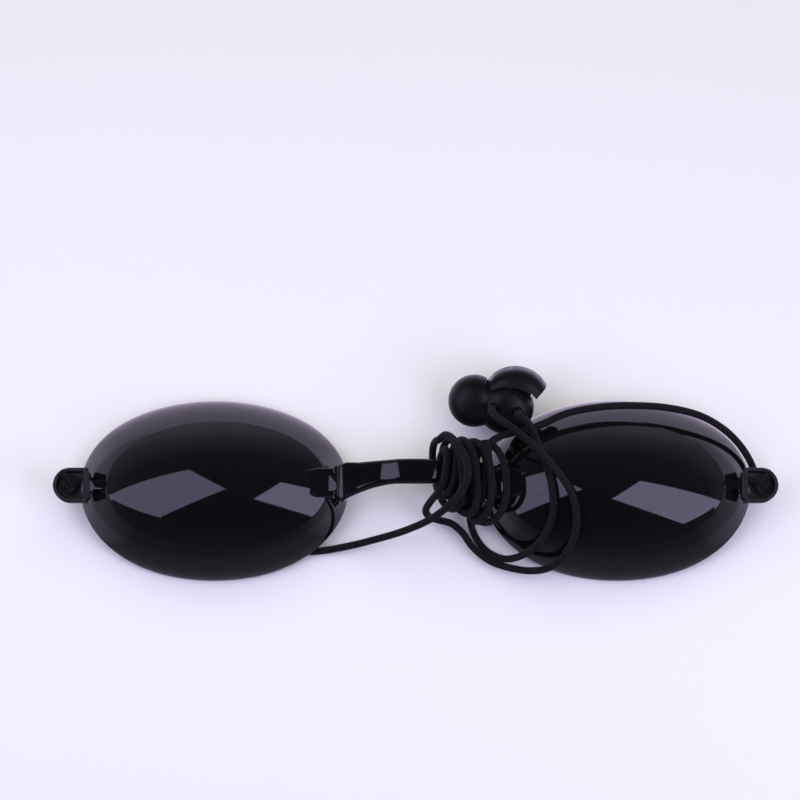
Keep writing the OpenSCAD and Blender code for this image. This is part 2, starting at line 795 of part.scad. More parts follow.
// How far the turn stands off the back of the lock
turn_off = 0.9;
loop_a = [[2.1, -4.9, 8.2], [2.8, -6, 6], [4.8, -6.6, 4.6], [7.4, -7.2, 3.8], [9.6, -9, 3.4],
    [12, -12.2, 3.2], [15.4, -14.9, 3], [19.6, -16.4, 3.3], [24, -17.1, 4.6], [27.6, -16.6, 7],
    [30.4, -14.4, 10.2], [32, -11.4, 13.4], [32.6, -8, 15.4], [32.2, -4.4, 16.6],
    [30.6, -0.8, 17.4], [28.3, 2.4, 17.8], [25.6, 5.4, 18], [22.4, 8.4, 18.6],
    [19, 11, 19.2], [16.6, 12.8, 18.6]];
loop_b = [[22.5, 12.2, 18], [23.8, 10.2, 16.9], [24.9, 7.8, 15.8], [26, 5, 15.2],
    [27, 2, 15.6], [27.7, -1.6, 15.9], [27.9, -5.4, 15.1], [27, -9, 13.2],
    [25, -12, 10.2], [22.2, -14, 7], [18.4, -14.6, 4.2], [15, -13, 2.6],
    [12.8, -10.4, 2], [11.4, -6.8, 3]];
lock_turn_path = concat(
    [for (z = [8, 4, 0, -4]) in_place([hole_a, 0, z])],
    [for (a = [180 : 36 : 360])
        in_place([lobe_x + hole_step / 2 * cos(a), 0,
                  -lock_t / 2 - turn_off + hole_step / 2 * sin(a)])],
    [for (z = [-4, 0, 4, 8]) in_place([hole_b, 0, z])]);

module cord_loop() {
    cord(concat([inner_in, before_inner], loop_a, lock_turn_path, loop_b,
        [after_outer, outer_out]));
}

left_cup();
right_cup();
nose_bridge();
left_hinge_pin();
right_hinge_pin();
left_strap_tab();
right_strap_tab();
left_knot();
right_knot();
left_cord();
inner_winding();
cord_loop();
outer_winding();
right_cord();
lock_body();
lock_button();
lock_spring();
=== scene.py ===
import math
import random

import bmesh
import bpy
import numpy as np
from mathutils import Matrix, Vector


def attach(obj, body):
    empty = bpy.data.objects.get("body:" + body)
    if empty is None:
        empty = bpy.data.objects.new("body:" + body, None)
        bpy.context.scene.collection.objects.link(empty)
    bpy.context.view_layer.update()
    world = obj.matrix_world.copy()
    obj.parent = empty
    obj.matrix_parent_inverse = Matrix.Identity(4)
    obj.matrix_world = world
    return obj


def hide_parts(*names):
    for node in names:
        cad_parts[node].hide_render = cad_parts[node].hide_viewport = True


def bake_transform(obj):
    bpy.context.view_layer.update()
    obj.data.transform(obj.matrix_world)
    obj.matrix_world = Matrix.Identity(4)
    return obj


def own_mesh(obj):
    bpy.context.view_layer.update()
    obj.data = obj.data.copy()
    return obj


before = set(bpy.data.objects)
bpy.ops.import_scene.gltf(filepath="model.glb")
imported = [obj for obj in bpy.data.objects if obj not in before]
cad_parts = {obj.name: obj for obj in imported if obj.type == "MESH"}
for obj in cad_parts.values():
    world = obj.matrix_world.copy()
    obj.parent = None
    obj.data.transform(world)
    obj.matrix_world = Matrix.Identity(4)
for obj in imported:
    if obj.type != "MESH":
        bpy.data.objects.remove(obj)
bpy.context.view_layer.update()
MM = 0.001

# Camera, at the photograph's angle
ELEVATION = math.radians(81.5)
DISTANCE = 0.56
TARGET = Vector((-0.0032, 0.0192, 0))
lens = bpy.data.cameras.new("camera")
lens.angle = math.radians(17.06)
camera = bpy.data.objects.new("camera", lens)
camera.location = TARGET + DISTANCE * Vector((0, -math.cos(ELEVATION), math.sin(ELEVATION)))
camera.rotation_euler = (math.pi / 2 - ELEVATION, 0, 0)
bpy.context.scene.collection.objects.link(camera)
bpy.context.scene.camera = camera

# The part's own sizes, in millimetres
CUP_X, CUP_L, CUP_W, CUP_H, CREASE_H = 41.85, 59.0, 37.8, 16.0, 10.5
FACE_L, FACE_W, FACE_SHIFT, CUP_WALL, FACE_POWER = 45.4, 26.6, 1.1, 1.6, 0.97
RIM_RISE, RIM_FLAT, RISE_POWER = 5.0, 18.0, 1.2
PIN_AT, PIN_X, BRIDGE_Z = 27.05, 14.8, 11.2
BRIDGE_Y, COLLAR_W, COLLAR_T, COLLAR_L = 0.4, 8.1, 3.8, 2.7
COLLAR_CUT, COLLAR_TRIM, STRAP_STEP, PIN_BORE = (2.5, 0.8), (1.9, 1.1), 0.1, 0.61
BOSS_RISE, BOSS_DROP, BOSS_NARROW, BOSS_REACH, BOSS_SLOPE, BOSS_CORNER = 1.5, 2.0, 2.0, 3.2, 2.2, 0.6
STRAP_W, STRAP_T, STRAP_RISE, STRAP_BOW, STRAP_CORNER = 5.4, 3.0, 0.75, 1.0, 0.9
TAB_L, TAB_W, TAB_T, TAB_Z, TAB_RECESS, TAB_RIM, TAB_EAR = 7.0, 7.1, 3.3, 8.2, 1.9, 0.8, 0.5
PEG_W, PEG_T, PEG_REACH, PEG_LIFT, PEG_NECK, RIB_W = 3.3, 1.8, 1.2, 0.7, 1.2, 1.8
CORD_D, HOLE_D = 1.5, 1.9
WIND_X, WIND_SIDE, WIND_FACE, WIND_SQUARE = 3.4, 1.4, 1.3, 0.85
INNER_FAN, OUTER_FAN = 0.2, 0.6
LAYER_STEP, WIND_LOOSE, INNER_LEAN, OUTER_LEAN = 1.75, 0.5, 0.6, 1.0
INNER_CLOSE, OUTER_CLOSE, INNER_BULGE, OUTER_BULGE = 1.7, 1.86, 2.2, 3.7
LOCK_AT, LOCK_LEAN, LOCK_TURN = (15.7, 17.0, 9.5), math.radians(20), math.radians(-10)
LOBE_X, LOBE_STEP, LOCK_R, LOBE_R, LOCK_T, LOBE_THIN = 3.0, 6.6, 5.8, 5.4, 9.0, 0.8
HOLE_STEP, LOCK_HOLE_D, PRESS, SLIDER_FIT, SLIDER_R, SLIDER_T = 5.4, 2.0, 1.0, 0.2, 4.6, 4.6
BUTTON_AT, BUTTON_R, BUTTON_T, BUTTON_GAP, SLIDER_TOP = (4.7, 1.1), 7.4, 8.8, 0.3, 6.4
BUTTON_EDGE = [(-1.9, 3.1), (0.7, 4.1), (4.6, 4.9), (7.8, 4.2), (8.8, 3.3), (11.8, 7.9), (11.8, 12), (2, 12)]


# Mesh helpers

def piece(name, verts, faces, uv=None):
    """A mesh object from points in millimetres; uv holds one pair per corner of each face."""
    mesh = bpy.data.meshes.new(name)
    mesh.from_pydata((np.asarray(verts, float) * MM).tolist(), [], [list(f) for f in faces])
    if uv is not None:
        layer = mesh.uv_layers.new(name="along")
        layer.data.foreach_set("uv", np.asarray(uv, np.float32).ravel())
    mesh.shade_smooth()
    mesh.validate()
    obj = bpy.data.objects.new(name, mesh)
    bpy.context.scene.collection.objects.link(obj)
    return obj


def grid_faces(rows, sides):
    """Faces between rows of closed rings."""
    return [(low + k, low + (k + 1) % sides, low + sides + (k + 1) % sides, low + sides + k)
            for low in range(0, (rows - 1) * sides, sides) for k in range(sides)]


def lofted(name, rows, ring=False):
    """A closed surface through rings of equal counts, capped at both ends or led back to its first ring."""
    rows = [np.asarray(r, float) for r in rows]
    sides = len(rows[0])
    last = (len(rows) - 1) * sides
    faces = grid_faces(len(rows), sides)
    if ring:
        faces += [(last + k, last + (k + 1) % sides, (k + 1) % sides, k) for k in range(sides)]
    else:
        faces.append(tuple(range(sides))[::-1])
        faces.append(tuple(last + k for k in range(sides)))
    return piece(name, np.concatenate(rows), faces)


def extruded(name, outline, low, high, place):
    """A prism over an outline of pairs; place turns (u, v, height) into a point."""
    n = len(outline)
    verts = [place(u, v, low) for u, v in outline] + [place(u, v, high) for u, v in outline]
    faces = [tuple(range(n))[::-1], tuple(range(n, 2 * n))]
    faces += [(k, (k + 1) % n, n + (k + 1) % n, n + k) for k in range(n)]
    return piece(name, verts, faces)


def along_y(u, v, h):
    return (u, -h, v)


def upright(u, v, h):
    return (u, v, h)


def circle(cx, cy, r, first=0, last=360, count=64):
    """Points of an arc, with both ends unless it closes."""
    closed = abs(last - first) >= 360
    angles = np.linspace(math.radians(first), math.radians(last), count, endpoint=not closed)
    return [(cx + r * math.cos(a), cy + r * math.sin(a)) for a in angles]


def box_ring(x, y_low, y_high, z_low, z_high, corner, low_corner=None, steps=6):
    """A rounded rectangle across x, with another radius on its lower y side if given."""
    ring = []
    for c in range(4):
        radius = corner if c in (0, 3) or low_corner is None else low_corner
        corner_y, corner_z = min(radius, 0.49 * (y_high - y_low)), min(radius, 0.49 * (z_high - z_low))
        y = y_high - corner_y if c in (0, 3) else y_low + corner_y
        z = z_high - corner_z if c < 2 else z_low + corner_z
        for k in range(steps + 1):
            a = math.radians(90 * (c + k / steps))
            ring.append((x, y + corner_y * math.cos(a), z + corner_z * math.sin(a)))
    return ring


def settled(obj, sharp=35):
    """Applies the object's modifiers and marks its sharp edges."""
    graph = bpy.context.evaluated_depsgraph_get()
    mesh = bpy.data.meshes.new_from_object(obj.evaluated_get(graph))
    obj.modifiers.clear()
    obj.data = mesh
    mesh.shade_smooth()
    mesh.set_sharp_from_angle(angle=math.radians(sharp))
    return obj


def outward(obj):
    """Turns all faces of a closed mesh outwards."""
    bm = bmesh.new()
    bm.from_mesh(obj.data)
    bmesh.ops.recalc_face_normals(bm, faces=bm.faces)
    bm.to_mesh(obj.data)
    bm.free()
    return obj


def combine(obj, others, how):
    """Booleans the others into obj and removes them."""
    for other in others:
        outward(other)
        step = obj.modifiers.new("cut", "BOOLEAN")
        step.operation = how
        step.object = other
        step.solver = "EXACT"
        settled(obj)
        bpy.data.objects.remove(other)
    return obj


def bevelled(obj, width, segments=3, angle=40):
    """Rounds the edges that are sharper than an angle."""
    edge = obj.modifiers.new("edge", "BEVEL")
    edge.width = width * MM
    edge.segments = segments
    edge.limit_method = "ANGLE"
    edge.angle_limit = math.radians(angle)
    edge.use_clamp_overlap = True
    return settled(obj)


def moved(obj, matrix):
    obj.data.transform(matrix)
    return obj


def mirrored(obj, name):
    """A copy of a settled mesh on the other side of x = 0."""
    mesh = obj.data.copy()
    mesh.transform(Matrix.Scale(-1, 4, (1, 0, 0)))
    mesh.flip_normals()
    mesh.name = name
    twin = bpy.data.objects.new(name, mesh)
    bpy.context.scene.collection.objects.link(twin)
    return twin


LEFT = Matrix.Translation((-CUP_X * MM, 0, 0))


# Materials

def filled(tree, node, inputs):
    """Links or sets a node's inputs. A key is a socket's name, or an underscore and its number."""
    for key, value in inputs.items():
        socket = node.inputs[int(key[1:])] if key[0] == "_" else node.inputs[key.replace("_", " ")]
        if isinstance(value, bpy.types.NodeSocket):
            tree.links.new(value, socket)
        else:
            socket.default_value = value
    return node


def adder(tree):
    """A helper that adds a node to a tree, with its settings and inputs, and returns it."""
    def add(kind, setup=None, **inputs):
        node = tree.nodes.new(kind)
        for key, value in (setup or {}).items():
            setattr(node, key, value)
        return filled(tree, node, inputs)

    return add


def shader(name):
    """A new node material, its helper that adds nodes, and one that fills its base shader."""
    mat = bpy.data.materials.new(name)
    mat.use_nodes = True
    tree = mat.node_tree

    def to_base(**inputs):
        filled(tree, tree.nodes["Principled BSDF"], inputs)

    return mat, adder(tree), to_base


def spread(add, value, low, high, out_low, out_high):
    """A value from one range mapped and clamped to another."""
    return add("ShaderNodeMapRange", None, Value=value, From_Min=low, From_Max=high,
               To_Min=out_low, To_Max=out_high).outputs["Result"]


def maths(add, operation, a, b=0.5, c=0.5):
    """The result of one operation on up to three values."""
    return add("ShaderNodeMath", {"operation": operation}, _0=a, _1=b, _2=c).outputs[0]


def noise(add, where, scale, detail=2.0, rough=0.5):
    return add("ShaderNodeTexNoise", None, Vector=where, Scale=scale, Detail=detail,
               Roughness=rough).outputs["Fac"]


def mixed(add, share, a, b):
    """A colour between a and b."""
    return add("ShaderNodeMix", {"data_type": "RGBA"}, _0=share, _6=a, _7=b).outputs[2]


def bumped(add, height, strength, distance):
    return add("ShaderNodeBump", None, Strength=strength, Distance=distance, Height=height).outputs[0]


def gloss_plastic(name, base, rough_low, rough_high):
    """Polished black moulding with faint orange peel, handling haze and a little dust."""
    mat, add, to_base = shader(name)
    where = add("ShaderNodeTexCoord").outputs["Object"]
    haze = spread(add, noise(add, where, 70, 4), 0.35, 0.7, rough_low, rough_high)
    cells = add("ShaderNodeTexVoronoi", {"feature": "F1"}, Vector=where, Scale=430.0)
    few = spread(add, noise(add, where, 330, 1), 0.6, 0.64, 0, 1)
    speck = spread(add, cells.outputs["Distance"], 0.03, 0.06, 1, 0)
    colour = mixed(add, maths(add, "MULTIPLY", few, speck), (*base, 1), DUST)
    peel = bumped(add, noise(add, where, 420, 2), 0.25, 0.000006)
    to_base(Base_Color=colour, Roughness=haze, Normal=peel, IOR=1.5)
    return mat


def grained_plastic(name, base, light, rough, grain, depth, shine):
    """Matt moulding with a spark-eroded grain and paler rubbed edges."""
    mat, add, to_base = shader(name)
    where = add("ShaderNodeTexCoord").outputs["Object"]
    worn = spread(add, add("ShaderNodeNewGeometry").outputs["Pointiness"], 0.52, 0.6, 0, 0.7)
    patch = spread(add, noise(add, where, 160, 4), 0.4, 0.65, 0, 0.5)
    colour = mixed(add, maths(add, "MAXIMUM", worn, patch), (*base, 1), (*light, 1))
    rough_map = spread(add, noise(add, where, 500, 3), 0.3, 0.7, rough - 0.07, rough + 0.09)
    eroded = bumped(add, noise(add, where, grain, 3, 0.6), 0.6, depth)
    to_base(Base_Color=colour, Roughness=rough_map, Normal=eroded, IOR=1.5, Specular_IOR_Level=shine)
    return mat


def braid_fabric(name, dark, light):
    """Braided elastic: yarn filaments along each strand, fuzz and a soft sheen, with a painted highlight on
    the strands' crowns and painted shade in the gaps between them.
    """
    mat, add, to_base = shader(name)
    coord = add("ShaderNodeTexCoord")
    parts = add("ShaderNodeSeparateXYZ", None, Vector=coord.outputs["UV"])

    def stripes(sign):
        turn = maths(add, "MULTIPLY_ADD", parts.outputs["Y"], sign * STRANDS, 0.0)
        both = maths(add, "MULTIPLY_ADD", parts.outputs["X"], float(STRANDS), turn)
        return maths(add, "COSINE", maths(add, "MULTIPLY", both, 2 * math.pi))

    top = maths(add, "MAXIMUM", stripes(1.0), stripes(-1.0))
    fuzz = noise(add, coord.outputs["Object"], 5200, 3, 0.7)
    # Painted light: each strand's crown is painted lighter and the gaps between strands are painted in shade;
    # the speckle is the fuzz's own random tone
    lit = spread(add, top, -0.7, 1, 0, 1)
    speckle = spread(add, fuzz, 0.35, 0.65, 0, 1)
    share = maths(add, "MULTIPLY", lit, speckle)
    woven = bumped(add, maths(add, "MULTIPLY_ADD", fuzz, 0.8, top), 0.7, 0.00005)
    to_base(Base_Color=mixed(add, share, (*dark, 1), (*light, 1)), Roughness=0.7, Normal=woven,
            Sheen_Weight=0.03, Sheen_Roughness=0.45, IOR=1.45,
            Specular_IOR_Level=spread(add, share, 0, 0.8, 0.03, 0.5))
    return mat


def plain_steel(name):
    """Drawn steel with fine lines along one direction."""
    mat, add, to_base = shader(name)
    where = add("ShaderNodeTexCoord").outputs["Object"]
    stretched = add("ShaderNodeMapping", None, Vector=where, Scale=(1, 0.05, 1))
    lines = noise(add, stretched.outputs[0], 9000, 3)
    to_base(Base_Color=mixed(add, lines, (0.42, 0.42, 0.43, 1), (0.6, 0.6, 0.62, 1)),
            Roughness=spread(add, lines, 0.3, 0.7, 0.22, 0.4), Metallic=1.0)
    return mat


DUST = (0.16, 0.16, 0.17, 1)
STRANDS = 8
cup_gloss = gloss_plastic("cup_gloss", (0.0045, 0.0045, 0.0052), 0.03, 0.07)
bridge_gloss = gloss_plastic("bridge_gloss", (0.004, 0.004, 0.0048), 0.09, 0.16)
tab_matte = grained_plastic("tab_matte", (0.007, 0.007, 0.008), (0.022, 0.022, 0.024), 0.5,
                            grain=2600, depth=0.00003, shine=0.3)
lock_satin = grained_plastic("lock_satin", (0.004, 0.004, 0.0046), (0.01, 0.01, 0.011), 0.32,
                             grain=1500, depth=0.000008, shine=0.16)
cord_fabric = braid_fabric("cord_fabric", (0.0012, 0.0012, 0.0016), (0.013, 0.013, 0.0145))
pin_steel = plain_steel("pin_steel")


def dressed(obj, mat, slot, body=None, *nodes):
    """Gives a piece its material, the nodes it replaces and the body it rides; its slot is not used."""
    obj.data.materials.clear()
    obj.data.materials.append(mat)
    if nodes:
        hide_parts(*nodes)
    if body:
        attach(obj, body)
    return obj


# Cords

def along(x):
    """Share of the way from the strap's middle to a collar."""
    return min(1, abs(x) / (PIN_X - COLLAR_L))


def upper_edge(x):
    return BRIDGE_Y + COLLAR_W / 2 + STRAP_RISE * (1 - along(x) ** 2)


def lower_edge(x):
    return BRIDGE_Y - COLLAR_W / 2 + (COLLAR_W + STRAP_RISE - STRAP_W) * (1 - along(x) ** 4)


def strap_y(x):
    return (upper_edge(x) + lower_edge(x)) / 2


def strap_z(x):
    return BRIDGE_Z + STRAP_BOW * (1 - along(x) ** 2)


def strap_half_t(x):
    return STRAP_T / 2 + (COLLAR_T / 2 - STRAP_STEP - STRAP_T / 2) * along(x) ** 3


def squarer(v):
    return math.copysign(abs(v) ** WIND_SQUARE, v)


def turn_point(angle, x, out, fan, lean, bulge):
    """A point of a winding round the strap, at an angle from its upper edge over the front."""
    front = (1 + math.sin(angle)) / 2
    wide = x + (fan * (x - WIND_X) + bulge) * front + lean * math.cos(angle)
    half = (upper_edge(wide) - lower_edge(wide)) / 2
    return (wide,
            strap_y(wide) + (half + WIND_SIDE + CORD_D / 2 + out) * squarer(math.cos(angle)),
            strap_z(wide) + (STRAP_T / 2 + WIND_FACE + CORD_D / 2 + out) * squarer(math.sin(angle)))


TURN_POINTS = 48


def wound(first, last, x, step, out, loose, fan, lean, bulge):
    """Points of a winding round the strap, between two angles in degrees."""
    turns = abs(last - first) / 360
    count = round(turns * TURN_POINTS)
    points = []
    for k in range(count + 1):
        angle = math.radians(first + (last - first) * k / count)
        points.append(turn_point(angle, x + step * turns * k / count,
                                 out + loose * math.sin(0.4 * angle) ** 2, fan, lean, bulge))
    return points


def drawn(z):
    """How far the skirt has drawn in at a height, from 0 at the rim's level to 1 at the crease."""
    return (z / CREASE_H) ** 2


def half_l(z):
    return CUP_L / 2 + (FACE_L - CUP_L) / 2 * drawn(z)


def half_w(z):
    return CUP_W / 2 + (FACE_W - CUP_W) / 2 * drawn(z)


def shift(z):
    return FACE_SHIFT * drawn(z)


TAB_END = half_l(TAB_Z) - shift(TAB_Z) + 0.3 + TAB_EAR
TAB_ROUND = TAB_END + TAB_L - TAB_W / 2
HOLE_X = TAB_ROUND + 0.1
TAB_FLOOR = TAB_Z + TAB_T - TAB_RECESS
LOCK = (Matrix.Translation(LOCK_AT) @ Matrix.Rotation(LOCK_TURN, 4, "Z")
        @ Matrix.Rotation(LOCK_LEAN, 4, "X"))
LOCK_MM = Matrix.Translation(Vector(LOCK_AT) * MM) @ LOCK.to_3x3().to_4x4()


def in_lock(x, y, z):
    """A point of the lock's own frame, placed in the goggles' frame."""
    return tuple(LOCK @ Vector((x, y, z)))


# The dressed windings lie closer, with more turns and a bulge to the right in front
inner_turns = wound(165, -1690, WIND_X, INNER_CLOSE, 0, 0, INNER_FAN, INNER_LEAN, INNER_BULGE)
outer_turns = wound(10, -1530, WIND_X, OUTER_CLOSE, LAYER_STEP, WIND_LOOSE,
                    OUTER_FAN, -OUTER_LEAN, OUTER_BULGE)
left_route = [(-70.8, -0.6, 5.2), (-69.6, -1.5, 3), (-66.6, -2.9, 1.5), (-61, -5, 1), (-56, -6.6, 1),
              (-51, -8.2, 1), (-46, -9.6, 1), (-41, -10.8, 1), (-36, -11.8, 1), (-31, -12.5, 1),
              (-26, -12.8, 1), (-20, -12.7, 1.2), (-14, -11.8, 2.4), (-8, -10.6, 5.2), (-2, -9.2, 9.6),
              (3.4, -7.2, 14.8), (7.8, -4, 18.6), (10.3, -0.2, 20.4), (10.2, 3.8, 20.4), (8.4, 7.4, 19.4),
              (6.2, 9.6, 16.4)]
right_route = [(14.9, 7.4, 15.5), (16.6, 9.2, 14.7), (19.2, 10.2, 13.8), (22.4, 11, 12.9), (26, 12.4, 12),
               (31, 14.6, 12), (38, 16, 11.6), (45, 16.4, 11), (52, 16, 10.4), (58.5, 14.6, 9.4),
               (63.6, 12, 7.8), (67, 9, 6.4), (69.2, 5.8, 5.6), (70.4, 2.6, 5.6)]
loop_a = [(2.1, -4.9, 8.2), (2.8, -6, 6), (4.8, -6.6, 4.6), (7.4, -7.2, 3.8), (9.6, -9, 3.4),
          (12, -12.2, 3.2), (15.4, -14.9, 3), (19.6, -16.4, 3.3), (24, -17.1, 4.6), (27.6, -16.6, 7),
          (30.4, -14.4, 10.2), (32, -11.4, 13.4), (32.6, -8, 15.4), (32.2, -4.4, 16.6), (30.6, -0.8, 17.4),
          (28.3, 2.4, 17.8), (25.6, 5.4, 18), (22.4, 8.4, 18.6), (19, 11, 19.2), (16.6, 12.8, 18.6)]
loop_b = [(22.5, 12.2, 18), (23.8, 10.2, 16.9), (24.9, 7.8, 15.8), (26, 5, 15.2), (27, 2, 15.6),
          (27.7, -1.6, 15.9), (27.9, -5.4, 15.1), (27, -9, 13.2), (25, -12, 10.2), (22.2, -14, 7),
          (18.4, -14.6, 4.2), (15, -13, 2.6), (12.8, -10.4, 2), (11.4, -6.8, 3)]
HOLES = [LOBE_X - HOLE_STEP / 2, LOBE_X + HOLE_STEP / 2]
TURN_DROP = 0.9
lock_turn = [in_lock(HOLES[0], 0, z) for z in (8, 4, 0, -4)]
lock_turn += [in_lock(LOBE_X + HOLE_STEP / 2 * math.cos(math.radians(a)), 0,
                      -LOCK_T / 2 - TURN_DROP + HOLE_STEP / 2 * math.sin(math.radians(a)))
              for a in range(180, 361, 36)]
lock_turn += [in_lock(HOLES[1], 0, z) for z in (-4, 0, 4, 8)]
drop = [(-(CUP_X + HOLE_X), 0, TAB_FLOOR), (-(CUP_X + HOLE_X), 0, TAB_Z - 0.6)]
left_points = drop + left_route + outer_turns[:1]
middle_points = outer_turns + (loop_a + lock_turn + loop_b)[::-1] + inner_turns
right_points = inner_turns[-1:] + right_route + [(-x, y, z) for x, y, z in drop[::-1]]


def smooth_path(points, step, before=None, after=None):
    """A curve through the points with even steps; before and after give the ends their direction."""
    p = np.asarray(([before] if before else []) + list(points) + ([after] if after else []), float)
    first = 1 if before else 0
    last = len(p) - (2 if after else 1)
    q = np.vstack([2 * p[0] - p[1], p, 2 * p[-1] - p[-2]])
    out = []
    for i in range(first, last):
        p0, p1, p2, p3 = q[i], q[i + 1], q[i + 2], q[i + 3]
        t1 = max(np.linalg.norm(p1 - p0), 1e-6) ** 0.5
        t2 = t1 + max(np.linalg.norm(p2 - p1), 1e-6) ** 0.5
        t3 = t2 + max(np.linalg.norm(p3 - p2), 1e-6) ** 0.5
        for t in np.linspace(t1, t2, 24, endpoint=False):
            a1 = (t1 - t) / t1 * p0 + t / t1 * p1
            a2 = (t2 - t) / (t2 - t1) * p1 + (t - t1) / (t2 - t1) * p2
            a3 = (t3 - t) / (t3 - t2) * p2 + (t - t2) / (t3 - t2) * p3
            b1 = (t2 - t) / t2 * a1 + t / t2 * a2
            b2 = (t3 - t) / (t3 - t1) * a2 + (t - t1) / (t3 - t1) * a3
            out.append((t2 - t) / (t2 - t1) * b1 + (t - t1) / (t2 - t1) * b2)
    out.append(q[last + 1])
    out = np.array(out)
    run = np.concatenate([[0], np.cumsum(np.linalg.norm(np.diff(out, axis=0), axis=1))])
    count = max(2, round(run[-1] / step))
    at = np.linspace(0, run[-1], count + 1)
    return np.stack([np.interp(at, run, out[:, k]) for k in range(3)], axis=1), run[-1]


def tube(name, path, radius, sides, relief=0.0, taper=None):
    """A tube along an even path. With relief, its surface carries two sets of crossing strands."""
    path = np.asarray(path, float)
    tangent = np.gradient(path, axis=0)
    tangent /= np.linalg.norm(tangent, axis=1)[:, None]
    normal = np.cross(tangent[0], (0.36, 0.48, 0.8))
    normals = []
    for t in tangent:
        normal = normal - (normal @ t) * t
        normal /= np.linalg.norm(normal)
        normals.append(normal)
    normals = np.array(normals)
    other = np.cross(tangent, normals)
    run = np.concatenate([[0], np.cumsum(np.linalg.norm(np.diff(path, axis=0), axis=1))])
    around = 2 * math.pi * np.arange(sides) / sides
    turn = run / (2 * math.pi * radius)
    r = np.full((len(path), sides), float(radius))
    if relief:
        sweep = 2 * math.pi * STRANDS * turn[:, None]
        a = STRANDS * around[None, :] + sweep
        b = STRANDS * around[None, :] - sweep
        over = np.cos(STRANDS * around)[None, :]
        up = np.maximum(np.cos(a / 2) ** 2 * (0.75 + 0.25 * over), np.cos(b / 2) ** 2 * (0.75 - 0.25 * over))
        r = r + relief * (up - 0.7)
    if taper is not None:
        r = r * np.asarray(taper)[:, None]
    verts = (path[:, None, :] + r[..., None] * (np.cos(around)[None, :, None] * normals[:, None, :]
             + np.sin(around)[None, :, None] * other[:, None, :])).reshape(-1, 3)
    rows = len(path)
    faces = [tuple(range(sides))[::-1]] + grid_faces(rows, sides)
    faces.append(tuple((rows - 1) * sides + k for k in range(sides)))
    uv = [(k / sides, 0) for k in range(sides)][::-1]
    for i in range(rows - 1):
        for k in range(sides):
            lo, hi = turn[i], turn[i + 1]
            uv += [(k / sides, lo), ((k + 1) / sides, lo), ((k + 1) / sides, hi), (k / sides, hi)]
    uv += [(k / sides, turn[-1]) for k in range(sides)]
    return piece(name, verts, faces, uv)


CORD_STEP, CORD_SIDES, CORD_RELIEF = 0.16, 32, 0.08
left_path, left_run = smooth_path(left_points, CORD_STEP, after=outer_turns[1])
middle_path, middle_run = smooth_path(middle_points, CORD_STEP, before=left_points[-2], after=right_points[1])
right_path, right_run = smooth_path(right_points, CORD_STEP, before=inner_turns[-2])

left_cord = tube("cord_left", left_path, CORD_D / 2, CORD_SIDES, CORD_RELIEF)
middle_cord = tube("cord_middle", middle_path, CORD_D / 2, CORD_SIDES, CORD_RELIEF)
right_cord = tube("cord_right", right_path, CORD_D / 2, CORD_SIDES, CORD_RELIEF)
dressed(left_cord, cord_fabric, "cord", None, "left_cord")
dressed(middle_cord, cord_fabric, "cord", "bridge", "inner_winding", "cord_loop", "outer_winding")
dressed(right_cord, cord_fabric, "cord", None, "right_cord")
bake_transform(left_cord)
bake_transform(right_cord)


# Cups

SIDES = 224
TURNS = 2 * math.pi * np.arange(SIDES) / SIDES
RIM_ROUND = 0.5
# Share of the face's radius and height of each ring of the faint bead along the crease
BEAD = [(1, 0), (0.996, 0.006), (0.99, 0.012), (0.984, 0.008), (0.976, 0)]


def rim_z(x):
    over = np.maximum(0, (np.abs(x) - RIM_FLAT / 2) / (CUP_L / 2 - RIM_FLAT / 2))
    return RIM_RISE * over ** RISE_POWER


def skirt_ring(share, top, inset, lift=0.0):
    low = rim_z(CUP_L / 2 * np.cos(TURNS)) + lift
    z = low + (top - low) * share
    return np.stack([shift(z) + (half_l(z) - inset) * np.cos(TURNS),
                     (half_w(z) - inset) * np.sin(TURNS), z], 1)


def face_ring(share, edge_h, top_h, inset, lift=0.0):
    z = np.full(SIDES, edge_h + (top_h - edge_h) * (1 - share * share) ** FACE_POWER + lift)
    return np.stack([shift(edge_h) + (half_l(edge_h) - inset) * share * np.cos(TURNS),
                     (half_w(edge_h) - inset) * share * np.sin(TURNS), z], 1)


def lip_ring(angle, inset, way):
    """A ring round the rim's rounded lip, from the upright side at 0 to its lowest line at 90 degrees."""
    a = math.radians(angle)
    return skirt_ring(0, CREASE_H, inset + way * RIM_ROUND * (1 - math.cos(a)), RIM_ROUND * (1 - math.sin(a)))


def cup_rings():
    """Rings from the middle of the hollow out to the rim and back over the skirt to the face's top."""
    inner_crease = CREASE_H - 0.8 * CUP_WALL
    rows = [face_ring(s, inner_crease, CUP_H - CUP_WALL, CUP_WALL) for s in np.linspace(0.02, 0.97, 16)]
    rows += [skirt_ring(s, inner_crease, CUP_WALL) for s in np.linspace(1, 0.06, 16)]
    rows += [lip_ring(a, CUP_WALL, -1) for a in np.linspace(0, 90, 5)]
    rows += [lip_ring(a, 0, 1) for a in np.linspace(90, 0, 5)]
    rows += [skirt_ring(s, CREASE_H, 0, RIM_ROUND) for s in np.linspace(0.05, 0.99, 30)]
    rows += [face_ring(s, CREASE_H, CUP_H, 0, up) for s, up in BEAD]
    rows += [face_ring(s, CREASE_H, CUP_H, 0) for s in np.linspace(0.955, 0.02, 40)]
    return rows


def nose_reach(z):
    return half_l(z) + shift(z)


def temple_reach(z):
    return half_l(z) - shift(z)


def face_z(x):
    return CREASE_H + (CUP_H - CREASE_H) * max(0, 1 - ((x - FACE_SHIFT) / (FACE_L / 2)) ** 2) ** FACE_POWER


KNUCKLE_R, KNUCKLE_FIT = COLLAR_T / 2, 0.25
TONGUE_L, TONGUE_W, TONGUE_T, TONGUE_BORE = 3.0, 3.8, 2.3, 1.3


